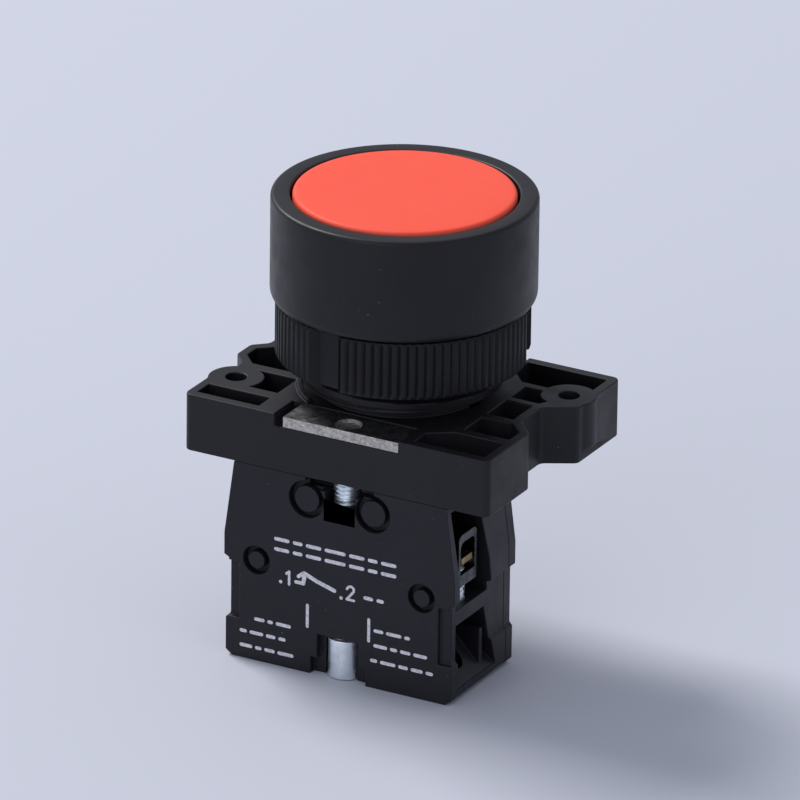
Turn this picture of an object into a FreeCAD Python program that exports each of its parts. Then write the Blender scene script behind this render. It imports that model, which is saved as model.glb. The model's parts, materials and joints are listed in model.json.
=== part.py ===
import FreeCAD, Part
import math
import os
import re
import Sketcher

# Industrial push button: a 22 mm flush head, its fixing nut, a mounting base and one contact block.
# Row frame: origin on the button axis at the underside of the bezel, where the panel's front face lies.
# +Z points out of the panel, +X runs along the base's long side, +Y runs away from the contact block.

os.makedirs("parts", exist_ok=True)
doc = FreeCAD.newDocument("push_button")

DIMS = {
    # head
    "bezel_radius": 14.5, "bezel_height": 11.7, "bezel_edge": 0.45, "bezel_foot_radius": 14.05,
    "bezel_foot_height": 0.9, "cap_bore": 12.4, "bezel_floor": 2.0,
    "guide_bore": 4.25, "shank_radius": 11.0, "shank_end": -9.5, "neck_radius": 8.6, "neck_bore": 7.6,
    "neck_end": -15.0, "web_bottom": 0.2, "seal_bottom": 0.9, "seal_top": 1.7, "seal_outer": 5.2,
    "seal_bore": 4.26, "lug_reach": 9.2, "lug_half_width": 1.4, "lug_bottom": -14.4, "lug_top": -12.6,
    "gasket_inner": 11.6, "gasket_outer": 13.2, "gasket_depth": 0.7, "gasket_proud": 0.3,
    # button
    "cap_radius": 12.2, "cap_top": 11.95, "cap_edge": 0.5, "cap_skirt_bottom": 6.6,
    "cap_skirt_inner": 11.0, "cap_underside": 9.8, "stem_radius": 4.2, "stem_end": -1.0,
    "spigot_radius": 2.6, "spigot_top": 4.6, "spigot_hole_top": 5.0, "hub_radius": 4.0,
    "foot_radius": 7.3, "foot_top": -8.0, "foot_bottom": -9.4, "head_spring_radius": 6.6,
    "head_spring_wire": 0.3, "head_spring_turns": 4.5,
    # fixing nut and its washer
    "nut_radius": 13.9, "nut_top": -0.35, "nut_bottom": -6.75, "nut_bore": 11.05,
    "nut_recess_radius": 12.5, "nut_recess_floor": -1.0, "washer_outer": 12.4, "washer_top": -0.35,
    "washer_bottom": -0.95, "rib_count": 90, "rib_depth": 0.35, "rib_gap": 0.42, "grip_count": 3,
    "grip_radius": 13.05, "grip_half_width": 2.3, "grip_direction": -97.0,
    # seat ring between shank and base
    "seat_radius": 9.2, "seat_bore": 8.65, "seat_top": -9.5, "seat_bottom": -10.3,
    # mounting base
    "base_top": -10.8, "base_bottom": -17.4, "base_front": 13.9, "base_floor": -16.0, "base_corner": 0.9,
    "tower_radius": 9.2, "base_bore": 8.65, "base_bore_floor": -15.05, "base_window_half": 2.4,
    "base_window_near": 3.4, "base_window_far": 7.4, "ear_left_x": -16.75, "ear_left_y": -7.0,
    "ear_right_x": 16.8, "ear_right_y": 6.8, "ear_hole": 1.15, "ear_boss": 3.1, "ear_sink_radius": 2.15,
    "ear_sink_top": -16.5, "strip_ledge": -12.2, "strip_notch_wide": 8.1, "strip_notch_narrow": 7.2,
    "strip_back": 9.6, "lug_slot_reach": 9.35, "lug_slot_half": 1.5, "lug_slot_floor": -14.5,
    "screw_passage": 1.6, "rim_inner": 10.9, "rim_outer": 11.5, "rim_height": 0.4,
    # tapped strips and small screws
    "strip_half_length": 7.1, "strip_front": 13.8, "strip_rear": 9.65, "strip_top": -11.0,
    "strip_hole": 1.25, "block_screw_y": -12.0, "ear_screw_top": -14.6, "ear_screw_head": 2.0,
    "ear_screw_proud": 0.5, "ear_screw_slot": 0.6, "ear_screw_slot_depth": 0.7,
    # contact block shell
    "block_front": 13.85, "block_rear": 0.05, "cover_front": 1.55, "block_bottom": -40.4,
    "cavity_half": 8.4, "cavity_front": 9.4, "cavity_top": -19.2, "cavity_bottom": -38.9,
    "pocket_inner": 9.0, "pocket_reach": 14.6, "guide_half": 1.97, "guide_front": 6.97,
    "guide_rear": 3.83, "shelf_hole": 1.65, "shelf_sink_radius": 2.05, "shelf_sink_top": -30.2,
    "face_recess": 0.5, "ring_depth": 1.0, "top_pin_x": 4.08, "top_pin_z": -20.0, "top_pin_radius": 1.3,
    "top_ring_radius": 2.15, "top_stud_radius": 1.5, "side_pin_x": 10.2, "side_pin_z": -28.5,
    "side_pin_radius": 1.0, "side_ring_radius": 1.65, "pin_end": 13.72, "slot_half": 1.8,
    "slot_bottom": -21.9, "slot_wide_half": 4.2, "slot_wide_bottom": -18.6, "slot_depth": 1.95,
    "notch_half": 2.6, "notch_top": -35.6, "notch_foot_half": 3.4, "notch_foot_top": -38.4,
    "notch_depth": 0.9, "head_passage": 2.1, "driver_hole": 1.3, "ramp_top": -33.8, "ramp_foot": -39.1,
    "ramp_reach": 13.9, "fin_front": 6.3, "fin_rear": 5.6, "fin_reach": 13.3, "fin_top": -34.2,
    # block mounting screw
    "thread_radius": 1.5, "thread_end": -11.5, "thread_start": -12.4, "screw_head_radius": 1.95,
    "screw_head_top": -35.8, "screw_head_bottom": -40.3, "driver_slot": 0.7, "driver_slot_depth": 1.1,
    # contact mechanism
    "mechanism_y": -5.4, "plunger_top": -9.45, "plunger_half_x": 1.9, "plunger_half_y": 1.5,
    "plunger_shoulder": -21.6, "plunger_bottom": -34.0, "plunger_body_x": 3.4, "plunger_body_y": 2.5,
    "window_top": -24.8, "window_bottom": -30.5, "window_half": 1.4, "spring_pocket_radius": 1.75,
    "spring_pocket_top": -31.6, "bridge_half_length": 6.6, "bridge_half_width": 1.1, "bridge_top": -26.33,
    "bridge_bottom": -26.93, "tip_radius": 1.0, "tip_x": 5.4, "moving_tip_top": -25.83,
    "strip_lower": -25.3, "strip_upper": -24.5, "fixed_tip_bottom": -25.8, "contact_spring_radius": 0.9,
    "contact_spring_wire": 0.16, "contact_spring_turns": 6.5, "plunger_spring_radius": 1.25,
    "plunger_spring_wire": 0.2, "plunger_spring_turns": 7.5,
    # wire clamps
    "clamp_x": 11.3, "clamp_y": -9.2, "cage_half_x": 2.0, "cage_half_y": 2.0, "cage_top": -21.6,
    "cage_web": 1.0, "cage_side": 0.42, "cage_nut_top": -26.3, "cage_bottom": -27.7, "cage_thread": 1.54,
    "clamp_screw_top": -26.0, "clamp_screw_head": 1.9, "clamp_head_top": -30.25,
    "clamp_head_bottom": -31.5, "terminal_outer_x": 13.2, "terminal_half_y": 1.2,
}

sheet = doc.addObject("Spreadsheet::Sheet", "dims")
for row, (name, value) in enumerate(DIMS.items(), 1):
    sheet.set(f"A{row}", name)
    sheet.set(f"B{row}", str(value))
    sheet.setAlias(f"B{row}", name)
doc.recompute()

nodes = []


def linked(text):
    """A formula on the sheet's names, written as an expression that reads the sheet."""
    return re.sub(r"[a-z][a-z_]*", lambda word: "dims." + word.group(0) if word.group(0) in DIMS
                  else word.group(0), str(text))


def new_body(label):
    body = doc.addObject("PartDesign::Body", label)
    body.Label = label
    nodes.append(body)
    return body


def place(item, x="0", y="0", z="0"):
    for axis, text in zip("xyz", (x, y, z)):
        item.setExpression(f"Placement.Base.{axis}", linked(text))


def origin_item(body, role):
    return next(item for item in body.Origin.OriginFeatures if item.Role == role)


def new_sketch(body, plane, offset="0"):
    sketch = body.newObject("Sketcher::SketchObject", body.Label + "_sketch")
    sketch.AttachmentSupport = [(origin_item(body, plane + "_Plane"), "")]
    sketch.MapMode = "FlatFace"
    sketch.setExpression("AttachmentOffset.Base.z", linked(offset))
    return sketch


def fix_point(sketch, geometry, vertex, across, along):
    for kind, axis, text in (("DistanceX", -2, across), ("DistanceY", -1, along)):
        if str(text) == "0":
            sketch.addConstraint(Sketcher.Constraint("PointOnObject", geometry, vertex, axis))
        else:
            number = sketch.addConstraint(Sketcher.Constraint(kind, -1, 1, geometry, vertex, 5.0))
            sketch.setExpression(f"Constraints[{number}]", linked(text))


def add_loop(sketch, points):
    first = sketch.GeometryCount
    count = len(points)
    turn = 2 * math.pi / count
    ring = [FreeCAD.Vector(10 * math.cos(turn * i), 10 * math.sin(turn * i), 0) for i in range(count)]
    for i in range(count):
        sketch.addGeometry(Part.LineSegment(ring[i], ring[(i + 1) % count]), False)
    for i in range(count):
        sketch.addConstraint(Sketcher.Constraint("Coincident", first + i, 2, first + (i + 1) % count, 1))
    for i, (across, along) in enumerate(points):
        fix_point(sketch, first + i, 1, across, along)


def add_box(sketch, low_x, low_y, high_x, high_y):
    add_loop(sketch, [(low_x, low_y), (high_x, low_y), (high_x, high_y), (low_x, high_y)])


def add_circle(sketch, across, along, radius):
    index = sketch.GeometryCount
    sketch.addGeometry(Part.Circle(FreeCAD.Vector(1, 1, 0), FreeCAD.Vector(0, 0, 1), 1.0), False)
    fix_point(sketch, index, 3, across, along)
    number = sketch.addConstraint(Sketcher.Constraint("Radius", index, 1.0))
    sketch.setExpression(f"Constraints[{number}]", linked(radius))


def extrude(body, sketch, length, cut=False, flip=False):
    """Pad or pocket a sketch; a pad follows the sketch normal and a pocket goes against it."""
    kind = "PartDesign::Pocket" if cut else "PartDesign::Pad"
    before = body.Shape.Volume if cut else 0.0
    feature = body.newObject(kind, body.Label + ("_pocket" if cut else "_pad"))
    feature.Profile = sketch
    feature.setExpression("Length", linked(length))
    feature.Reversed = flip
    sketch.Visibility = False
    doc.recompute()
    if cut and not before - body.Shape.Volume > 1e-4:
        raise RuntimeError(f"a pocket in {body.Label} removes nothing")
    return feature


def revolve(body, points):
    """Turn a closed profile of (radius, height) points round the body's Z axis."""
    sketch = new_sketch(body, "XZ")
    add_loop(sketch, points)
    feature = body.newObject("PartDesign::Revolution", body.Label + "_turn")
    feature.Profile = sketch
    feature.ReferenceAxis = (sketch, ["V_Axis"])
    feature.Angle = 360
    sketch.Visibility = False
    doc.recompute()
    return feature


def ring(label, inner, outer, bottom, top):
    body = new_body(label)
    revolve(body, [(inner, bottom), (outer, bottom), (outer, top), (inner, top)])
    return body


def round_edges(body, base, radius, wanted, kind="Fillet"):
    """Round or chamfer the edges of a feature that the test picks."""
    names = [f"Edge{i}" for i, edge in enumerate(base.Shape.Edges, 1) if wanted(edge)]
    feature = body.newObject("PartDesign::" + kind, body.Label + "_edges")
    feature.Base = (base, names)
    feature.setExpression("Radius" if kind == "Fillet" else "Size", linked(radius))
    doc.recompute()
    return feature


def is_rim(radius, height):
    return lambda edge: (isinstance(edge.Curve, Part.Circle) and abs(edge.Curve.Radius - radius) < 1e-3
                         and abs(edge.Vertexes[0].Z - height) < 1e-3)


def spring(label, coil_radius, wire_radius, turns, bottom, top, x="0", y="0"):
    """A round-wire coil whose wire touches both end heights."""
    helix = doc.addObject("Part::Helix", label + "_path")
    helix.setExpression("Height", linked(f"({top}) - ({bottom}) - 2 * {wire_radius}"))
    helix.setExpression("Pitch", linked(f"(({top}) - ({bottom}) - 2 * {wire_radius}) / {turns}"))
    helix.setExpression("Radius", linked(coil_radius))
    wire = doc.addObject("Part::Circle", label + "_wire")
    wire.setExpression("Radius", linked(wire_radius))
    wire.Placement = FreeCAD.Placement(FreeCAD.Vector(), FreeCAD.Rotation(FreeCAD.Vector(1, 0, 0), 90))
    wire.setExpression("Placement.Base.x", linked(coil_radius))
    coil = doc.addObject("Part::Sweep", label)
    coil.Sections = [wire]
    coil.Spine = (helix, ["Edge1"])
    coil.Solid = True
    coil.Frenet = True
    coil.Label = label
    place(coil, x, y, f"({bottom}) + {wire_radius}")
    nodes.append(coil)
    doc.recompute()


def slotted_screw(label, profile, slot_half, slot_depth, bottom, x, y):
    """A turned screw with its head at the lower end and a driver slot across the head."""
    body = new_body(label)
    revolve(body, profile)
    sketch = new_sketch(body, "XY", bottom)
    add_box(sketch, "-5", f"-{slot_half}", "5", slot_half)
    extrude(body, sketch, slot_depth, cut=True, flip=True)
    place(body, x, y)
    return body


# ---- head ----------------------------------------------------------------------------------------

housing = new_body("head_housing")
turned = revolve(housing, [
    ("bezel_foot_radius", "0"), ("bezel_radius", "bezel_foot_height"), ("bezel_radius", "bezel_height"),
    ("cap_bore", "bezel_height"), ("cap_bore", "bezel_floor"), ("guide_bore", "bezel_floor"),
    ("guide_bore", "seal_top"),
    ("seal_outer", "seal_top"), ("seal_outer", "seal_bottom"), ("guide_bore", "seal_bottom"),
    ("guide_bore", "web_bottom"), ("neck_bore", "web_bottom"), ("neck_bore", "neck_end"),
    ("neck_radius", "neck_end"), ("neck_radius", "shank_end"), ("shank_radius", "shank_end"),
    ("shank_radius", "0"), ("gasket_inner", "0"), ("gasket_inner", "gasket_depth"),
    ("gasket_outer", "gasket_depth"), ("gasket_outer", "0")])
round_edges(housing, turned, "bezel_edge", is_rim(DIMS["bezel_radius"], DIMS["bezel_height"]))
for side in (-1, 1):
    lug = new_sketch(housing, "XY", "lug_bottom")
    add_box(lug, f"{side} * (neck_radius - 0.4)", "-lug_half_width", f"{side} * lug_reach", "lug_half_width")
    extrude(housing, lug, "lug_top - lug_bottom")

ring("panel_gasket", "gasket_inner", "gasket_outer", "-gasket_proud", "gasket_depth")
ring("stem_seal", "seal_bore", "seal_outer", "seal_bottom", "seal_top")
ring("seat_ring", "seat_bore", "seat_radius", "seat_bottom", "seat_top")

cap = new_body("button_cap")
turned = revolve(cap, [
    ("0", "cap_top"), ("0", "spigot_hole_top"), ("spigot_radius", "spigot_hole_top"),
    ("spigot_radius", "stem_end"), ("stem_radius", "stem_end"), ("stem_radius", "cap_underside"),
    ("cap_skirt_inner", "cap_underside"), ("cap_skirt_inner", "cap_skirt_bottom"),
    ("cap_radius", "cap_skirt_bottom"), ("cap_radius", "cap_top")])
round_edges(cap, turned, "cap_edge", is_rim(DIMS["cap_radius"], DIMS["cap_top"]))

revolve(new_body("pusher"), [
    ("0", "spigot_top"), ("0", "foot_bottom"), ("foot_radius", "foot_bottom"), ("foot_radius", "foot_top"),
    ("hub_radius", "foot_top"), ("hub_radius", "stem_end"), ("spigot_radius", "stem_end"),
    ("spigot_radius", "spigot_top")])

spring("return_spring", "head_spring_radius", "head_spring_wire", "head_spring_turns",
       "bezel_floor", "cap_underside")

# ---- fixing nut and washer ----------------------------------------------------------------------

ring("nut_washer", "nut_bore", "washer_outer", "washer_bottom", "washer_top")

nut = new_body("fixing_nut")
revolve(nut, [
    ("nut_bore", "nut_bottom"), ("nut_radius", "nut_bottom"), ("nut_radius", "nut_top"),
    ("nut_recess_radius", "nut_top"), ("nut_recess_radius", "nut_recess_floor"),
    ("nut_bore", "nut_recess_floor")])
groove = new_sketch(nut, "XY", "nut_top + 0.1")
add_loop(groove, [("nut_radius - rib_depth", "0"), ("nut_radius + 0.2", "-rib_gap / 2 - 0.12"),
                  ("nut_radius + 0.2", "rib_gap / 2 + 0.12")])
groove_cut = extrude(nut, groove, "nut_top - nut_bottom + 0.2", cut=True)
ribs = nut.newObject("PartDesign::PolarPattern", "fixing_nut_ribs")
ribs.Originals = [groove_cut]
ribs.Axis = (origin_item(nut, "Z_Axis"), [""])
ribs.Angle = 360
ribs.setExpression("Occurrences", "dims.rib_count")
nut.Tip = ribs
doc.recompute()
grip = new_sketch(nut, "XY", "nut_top + 0.1")
add_box(grip, "grip_radius", "-grip_half_width", "nut_radius + 1", "grip_half_width")
grip_cut = extrude(nut, grip, "nut_top - nut_bottom + 0.2", cut=True)
grips = nut.newObject("PartDesign::PolarPattern", "fixing_nut_grips")
grips.Originals = [grip_cut]
grips.Axis = (origin_item(nut, "Z_Axis"), [""])
grips.Angle = 360
grips.setExpression("Occurrences", "dims.grip_count")
nut.Tip = grips
nut.Placement = FreeCAD.Placement(FreeCAD.Vector(), FreeCAD.Rotation(FreeCAD.Vector(0, 0, 1), 0))
nut.setExpression("Placement.Rotation.Angle", "dims.grip_direction * 1 deg")
doc.recompute()

# ---- mounting base ------------------------------------------------------------------------------

base = new_body("mounting_base")
outline = new_sketch(base, "XY", "base_bottom")
add_loop(outline, [
    ("-19.35", "-base_front"), ("18.1", "-base_front"), ("18.1", "-4.6"), ("15.9", "-2.2"), ("15.9", "2.2"),
    ("19.4", "4.2"), ("19.4", "base_front"), ("-18.3", "base_front"), ("-18.3", "3.2"), ("-19.9", "1.7"),
    ("-19.9", "-1.3"), ("-18.3", "-3.1"), ("-18.1", "-4.3"), ("-19.35", "-5.4")])
slab = extrude(base, outline, "base_top - base_bottom")


def upright(edge):
    ends = edge.Vertexes
    return len(ends) == 2 and abs(ends[0].Z - ends[1].Z) > 1.0


round_edges(base, slab, "base_corner", upright)

# Open cells between the ribs, each a closed loop of corners seen from above.
CELLS = [
    [("-18.25", "-12.7"), ("-10.7", "-12.7"), ("-10.7", "-10.2"), ("-18.25", "-10.2")],
    [("-16.0", "-8.6"), ("-10.7", "-8.6"), ("-10.7", "-4.2"), ("-16.0", "-4.2")],
    [("-17.0", "-2.8"), ("-11.6", "-2.8"), ("-11.6", "2.4"), ("-17.2", "2.4"), ("-18.8", "1.0"),
     ("-18.8", "-0.9")],
    [("-17.2", "3.7"), ("-11.6", "3.7"), ("-11.6", "7.6"), ("-17.2", "7.6")],
    [("-17.2", "8.7"), ("-10.8", "8.7"), ("-9.2", "10.0"), ("-9.2", "12.7"), ("-17.2", "12.7")],
    [("8.5", "-12.7"), ("17.0", "-12.7"), ("17.0", "-8.4"), ("11.2", "-8.4"), ("8.5", "-10.2")],
    [("11.6", "-7.2"), ("17.0", "-7.2"), ("17.0", "-5.0"), ("15.2", "-3.2"), ("11.6", "-3.2")],
    [("11.6", "-2.1"), ("14.8", "-2.1"), ("14.8", "2.1"), ("11.6", "2.1")],
    [("11.6", "3.2"), ("15.2", "3.2"), ("16.0", "4.6"), ("15.0", "6.4"), ("11.6", "6.4")],
    [("10.6", "7.6"), ("16.0", "7.6"), ("16.6", "9.0"), ("18.3", "9.0"), ("18.3", "12.7"), ("8.6", "12.7"),
     ("8.6", "9.8")],
]
cells = new_sketch(base, "XY", "base_top")
for corners in CELLS:
    add_loop(cells, corners)
extrude(base, cells, "base_top - base_floor", cut=True)
bosses = new_sketch(base, "XY", "base_floor - 0.2")
for ear in ("left", "right"):
    add_circle(bosses, f"ear_{ear}_x", f"ear_{ear}_y", "ear_boss")
extrude(base, bosses, "base_top - base_floor + 0.2")

tower = new_sketch(base, "XY", "base_top - 1")
add_circle(tower, "0", "0", "tower_radius")
extrude(base, tower, "seat_bottom - base_top + 1")

# A low curved rim on the plate at the front left.
rim = new_sketch(base, "XY", "base_top - 0.1")
RIM_TURNS = (-160, -153, -146, -139, -132, -124.5)
add_loop(rim, [(f"rim_outer * cos({turn})", f"rim_outer * sin({turn})") for turn in RIM_TURNS]
         + [(f"rim_inner * cos({turn})", f"rim_inner * sin({turn})") for turn in reversed(RIM_TURNS)])
extrude(base, rim, "rim_height + 0.1")

bore = new_sketch(base, "XY", "seat_bottom")
add_circle(bore, "0", "0", "base_bore")
extrude(base, bore, "seat_bottom - base_bore_floor", cut=True)

lug_slots = new_sketch(base, "XY", "seat_bottom")
for side in (-1, 1):
    add_box(lug_slots, f"{side} * (neck_radius - 0.4)", "-lug_slot_half", f"{side} * lug_slot_reach",
            "lug_slot_half")
extrude(base, lug_slots, "seat_bottom - lug_slot_floor", cut=True)

# Front and rear notches for the tapped strips, windows for the plungers, and passages for the screws.
notches = new_sketch(base, "XY", "base_top")
for side in (-1, 1):
    add_box(notches, f"{side} * strip_notch_wide", f"{side} * strip_back", f"{-side} * strip_notch_narrow",
            f"{side} * (base_front + 1)")
extrude(base, notches, "base_top - strip_ledge", cut=True)

windows = new_sketch(base, "XY", "base_bore_floor")
for side in (-1, 1):
    add_box(windows, "-base_window_half", f"{side} * base_window_near", "base_window_half",
            f"{side} * base_window_far")
extrude(base, windows, "base_bore_floor - base_bottom", cut=True)

passages = new_sketch(base, "XY", "strip_ledge")
for side in (-1, 1):
    add_circle(passages, "0", f"{side} * block_screw_y", "screw_passage")
extrude(base, passages, "strip_ledge - base_bottom", cut=True)

ear_holes = new_sketch(base, "XY", "base_top")
ear_sinks = new_sketch(base, "XY", "ear_sink_top")
for ear in ("left", "right"):
    add_circle(ear_holes, f"ear_{ear}_x", f"ear_{ear}_y", "ear_hole")
    add_circle(ear_sinks, f"ear_{ear}_x", f"ear_{ear}_y", "ear_sink_radius")
extrude(base, ear_holes, "base_top - base_bottom", cut=True)
extrude(base, ear_sinks, "ear_sink_top - base_bottom", cut=True)

for label, side in (("nut_plate_front", -1), ("nut_plate_rear", 1)):
    strip = new_body(label)
    face = new_sketch(strip, "XY", "strip_ledge")
    add_box(face, "-strip_half_length", f"{side} * strip_rear", "strip_half_length", f"{side} * strip_front")
    add_circle(face, "0", f"-{side} * block_screw_y", "strip_hole")
    extrude(strip, face, "strip_top - strip_ledge")

for label, x, y in (("ear_screw_left", "ear_left_x", "ear_left_y"),
                    ("ear_screw_right", "ear_right_x", "ear_right_y")):
    low = "base_bottom - ear_screw_proud"
    slotted_screw(label, [
        ("0", low), ("ear_screw_head", low), ("ear_screw_head", "ear_sink_top"), ("ear_hole", "ear_sink_top"),
        ("ear_hole", "ear_screw_top"), ("0", "ear_screw_top")],
        "ear_screw_slot / 2", "ear_screw_slot_depth", low, x, y)

# ---- contact block shell ------------------------------------------------------------------------

SHELL_SIDE = [("13.1", "base_bottom"), ("14.25", "-26.0"), ("14.25", "-28.6"), ("13.65", "-28.9"),
              ("13.65", "-35.6"), ("14.0", "-36.0"), ("14.0", "-39.8"), ("13.2", "block_bottom")]
SHELL = SHELL_SIDE + [("-" + across, along) for across, along in reversed(SHELL_SIDE)]

shell = new_body("block_housing")
profile = new_sketch(shell, "XZ", "cover_front")
add_loop(profile, SHELL)
extrude(shell, profile, "block_front - cover_front")

cavity = new_sketch(shell, "XZ", "cover_front")
add_box(cavity, "-cavity_half", "cavity_bottom", "cavity_half", "cavity_top")
extrude(shell, cavity, "cavity_front - cover_front", cut=True, flip=True)

guide = new_sketch(shell, "XY", "base_bottom")
add_box(guide, "-guide_half", "-guide_front", "guide_half", "-guide_rear")
extrude(shell, guide, "base_bottom - cavity_top", cut=True)

# Side pockets: the upper one takes the wire and its clamp, the lower one leads to the clamp screw.
UPPER_POCKET = [("-12.9", "-18.2"), ("-12.4", "-29.8"), ("-5.4", "-29.8"), ("-7.0", "-18.2")]
LOWER_POCKET = [("-12.3", "-31.6"), ("-12.3", "-39.0"), ("-3.9", "-39.0"), ("-6.1", "-31.6")]
for side in (-1, 1):
    for corners in (UPPER_POCKET, LOWER_POCKET):
        mouth = new_sketch(shell, "YZ", f"{side} * pocket_inner")
        add_loop(mouth, corners)
        extrude(shell, mouth, "pocket_reach - pocket_inner", cut=True, flip=side > 0)
    ramp = new_sketch(shell, "XZ", "3.85")
    add_loop(ramp, [(f"{side} * (pocket_inner - 0.2)", "ramp_top"), (f"{side} * ramp_reach", "ramp_foot"),
                    (f"{side} * (pocket_inner - 0.2)", "ramp_foot")])
    extrude(shell, ramp, "8.5")
    fin = new_sketch(shell, "XZ", "fin_rear")
    add_box(fin, f"{side} * (pocket_inner - 0.2)", "ramp_foot", f"{side} * fin_reach", "fin_top")
    extrude(shell, fin, "fin_front - fin_rear")
    strip_slot = new_sketch(shell, "XZ", "-clamp_y - terminal_half_y - 0.05")
    add_box(strip_slot, f"{side} * (cavity_half - 0.1)", "strip_lower - 0.05",
            f"{side} * (pocket_inner + 0.1)", "strip_upper + 0.05")
    extrude(shell, strip_slot, "1.35", cut=True, flip=True)

# Each clamp screw turns in the shelf, its head sunk from below; a driver reaches it through the ramp.
for radius, top, depth in (("shelf_hole", "-29.7", "2"), ("shelf_sink_radius", "shelf_sink_top", "1.5"),
                           ("driver_hole", "ramp_top", "ramp_top - block_bottom")):
    holes = new_sketch(shell, "XY", top)
    for side in (-1, 1):
        add_circle(holes, f"{side} * clamp_x", "clamp_y", radius)
    extrude(shell, holes, depth, cut=True)

# Channel of the mounting screw, open to the front at its top and at its head.
channel = new_sketch(shell, "XY", "base_bottom")
add_circle(channel, "0", "block_screw_y", "screw_passage")
extrude(shell, channel, "base_bottom - notch_top + 0.2", cut=True)
head_room = new_sketch(shell, "XY", "notch_top")
add_circle(head_room, "0", "block_screw_y", "head_passage")
extrude(shell, head_room, "notch_top - block_bottom", cut=True)
top_slot = new_sketch(shell, "XZ", "block_front")
add_loop(top_slot, [
    ("-slot_wide_half", "base_bottom + 1"), ("-slot_wide_half", "slot_wide_bottom"),
    ("-slot_half", "slot_wide_bottom"), ("-slot_half", "slot_bottom"), ("slot_half", "slot_bottom"),
    ("slot_half", "slot_wide_bottom"), ("slot_wide_half", "slot_wide_bottom"),
    ("slot_wide_half", "base_bottom + 1")])
extrude(shell, top_slot, "slot_depth", cut=True)
notch = new_sketch(shell, "XZ", "block_front")
add_loop(notch, [
    ("-notch_foot_half", "block_bottom - 1"), ("-notch_foot_half", "notch_foot_top"),
    ("-notch_half", "notch_foot_top"), ("-notch_half", "notch_top"), ("notch_half", "notch_top"),
    ("notch_half", "notch_foot_top"), ("notch_foot_half", "notch_foot_top"),
    ("notch_foot_half", "block_bottom - 1")])
extrude(shell, notch, "notch_depth", cut=True)

# Front face: sunken rings round the four stud ends and a shallow step beside each edge.
rings = new_sketch(shell, "XZ", "block_front")
face_steps = new_sketch(shell, "XZ", "block_front")
pin_holes = new_sketch(shell, "XZ", "block_front - ring_depth")
for side in (-1, 1):
    add_circle(rings, f"{side} * side_pin_x", "side_pin_z", "side_ring_radius")
    add_circle(rings, f"{side} * side_pin_x", "side_pin_z", "side_pin_radius")
    add_circle(rings, f"{side} * top_pin_x", "top_pin_z", "top_ring_radius")
    add_box(face_steps, f"{side} * 12.3", "-35.8", f"{side} * 15", "-29.2")
    add_circle(pin_holes, f"{side} * top_pin_x", "top_pin_z", "top_pin_radius")
extrude(shell, rings, "ring_depth", cut=True)
extrude(shell, face_steps, "face_recess", cut=True)
extrude(shell, pin_holes, "block_front - ring_depth - cover_front + 0.2", cut=True)

cover = new_body("block_cover")
profile = new_sketch(cover, "XZ", "block_rear")
add_loop(profile, SHELL)
extrude(cover, profile, "cover_front - block_rear")
pins = new_sketch(cover, "XZ", "cover_front - 0.1")
studs = new_sketch(cover, "XZ", "block_front - ring_depth")
for side in (-1, 1):
    add_circle(pins, f"{side} * top_pin_x", "top_pin_z", "top_pin_radius")
    add_circle(studs, f"{side} * top_pin_x", "top_pin_z", "top_stud_radius")
extrude(cover, pins, "pin_end - cover_front + 0.1")
extrude(cover, studs, "pin_end - block_front + ring_depth")

slotted_screw("block_screw", [
    ("0", "screw_head_bottom"), ("screw_head_radius", "screw_head_bottom"),
    ("screw_head_radius", "screw_head_top"), ("thread_radius", "screw_head_top"),
    ("thread_radius", "thread_start"), ("strip_hole", "thread_start"), ("strip_hole", "thread_end"),
    ("0", "thread_end")],
    "driver_slot / 2", "driver_slot_depth", "screw_head_bottom", "0", "block_screw_y")

# ---- contact mechanism --------------------------------------------------------------------------

plunger = new_body("plunger")
stem = new_sketch(plunger, "XY", "plunger_shoulder - 0.5")
add_box(stem, "-plunger_half_x", "-plunger_half_y", "plunger_half_x", "plunger_half_y")
extrude(plunger, stem, "plunger_top - plunger_shoulder + 0.5")
block = new_sketch(plunger, "XY", "plunger_bottom")
add_box(block, "-plunger_body_x", "-plunger_body_y", "plunger_body_x", "plunger_body_y")
extrude(plunger, block, "plunger_shoulder - plunger_bottom")
window = new_sketch(plunger, "YZ", "-plunger_body_x - 1")
add_box(window, "-window_half", "window_bottom", "window_half", "window_top")
extrude(plunger, window, "2 * plunger_body_x + 2", cut=True, flip=True)
spring_pocket = new_sketch(plunger, "XY", "plunger_bottom")
add_circle(spring_pocket, "0", "0", "spring_pocket_radius")
extrude(plunger, spring_pocket, "spring_pocket_top - plunger_bottom", cut=True, flip=True)
place(plunger, "0", "mechanism_y")

bridge = new_body("contact_bridge")
bar = new_sketch(bridge, "XY", "bridge_bottom")
add_box(bar, "-bridge_half_length", "-bridge_half_width", "bridge_half_length", "bridge_half_width")
extrude(bridge, bar, "bridge_top - bridge_bottom")
place(bridge, "0", "mechanism_y")

for name, side in (("left", -1), ("right", 1)):
    for kind, low, high in (("moving_tip", "bridge_top", "moving_tip_top"),
                            ("fixed_tip", "fixed_tip_bottom", "strip_lower")):
        tip = new_body(f"{kind}_{name}")
        disc = new_sketch(tip, "XY", low)
        add_circle(disc, "0", "0", "tip_radius")
        extrude(tip, disc, f"({high}) - ({low})")
        place(tip, f"{side} * tip_x", "mechanism_y")

spring("contact_spring", "contact_spring_radius", "contact_spring_wire", "contact_spring_turns",
       "window_bottom", "bridge_bottom", "0", "mechanism_y")
spring("plunger_spring", "plunger_spring_radius", "plunger_spring_wire", "plunger_spring_turns",
       "cavity_bottom", "spring_pocket_top", "0", "mechanism_y")

# ---- terminals and wire clamps ------------------------------------------------------------------

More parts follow.
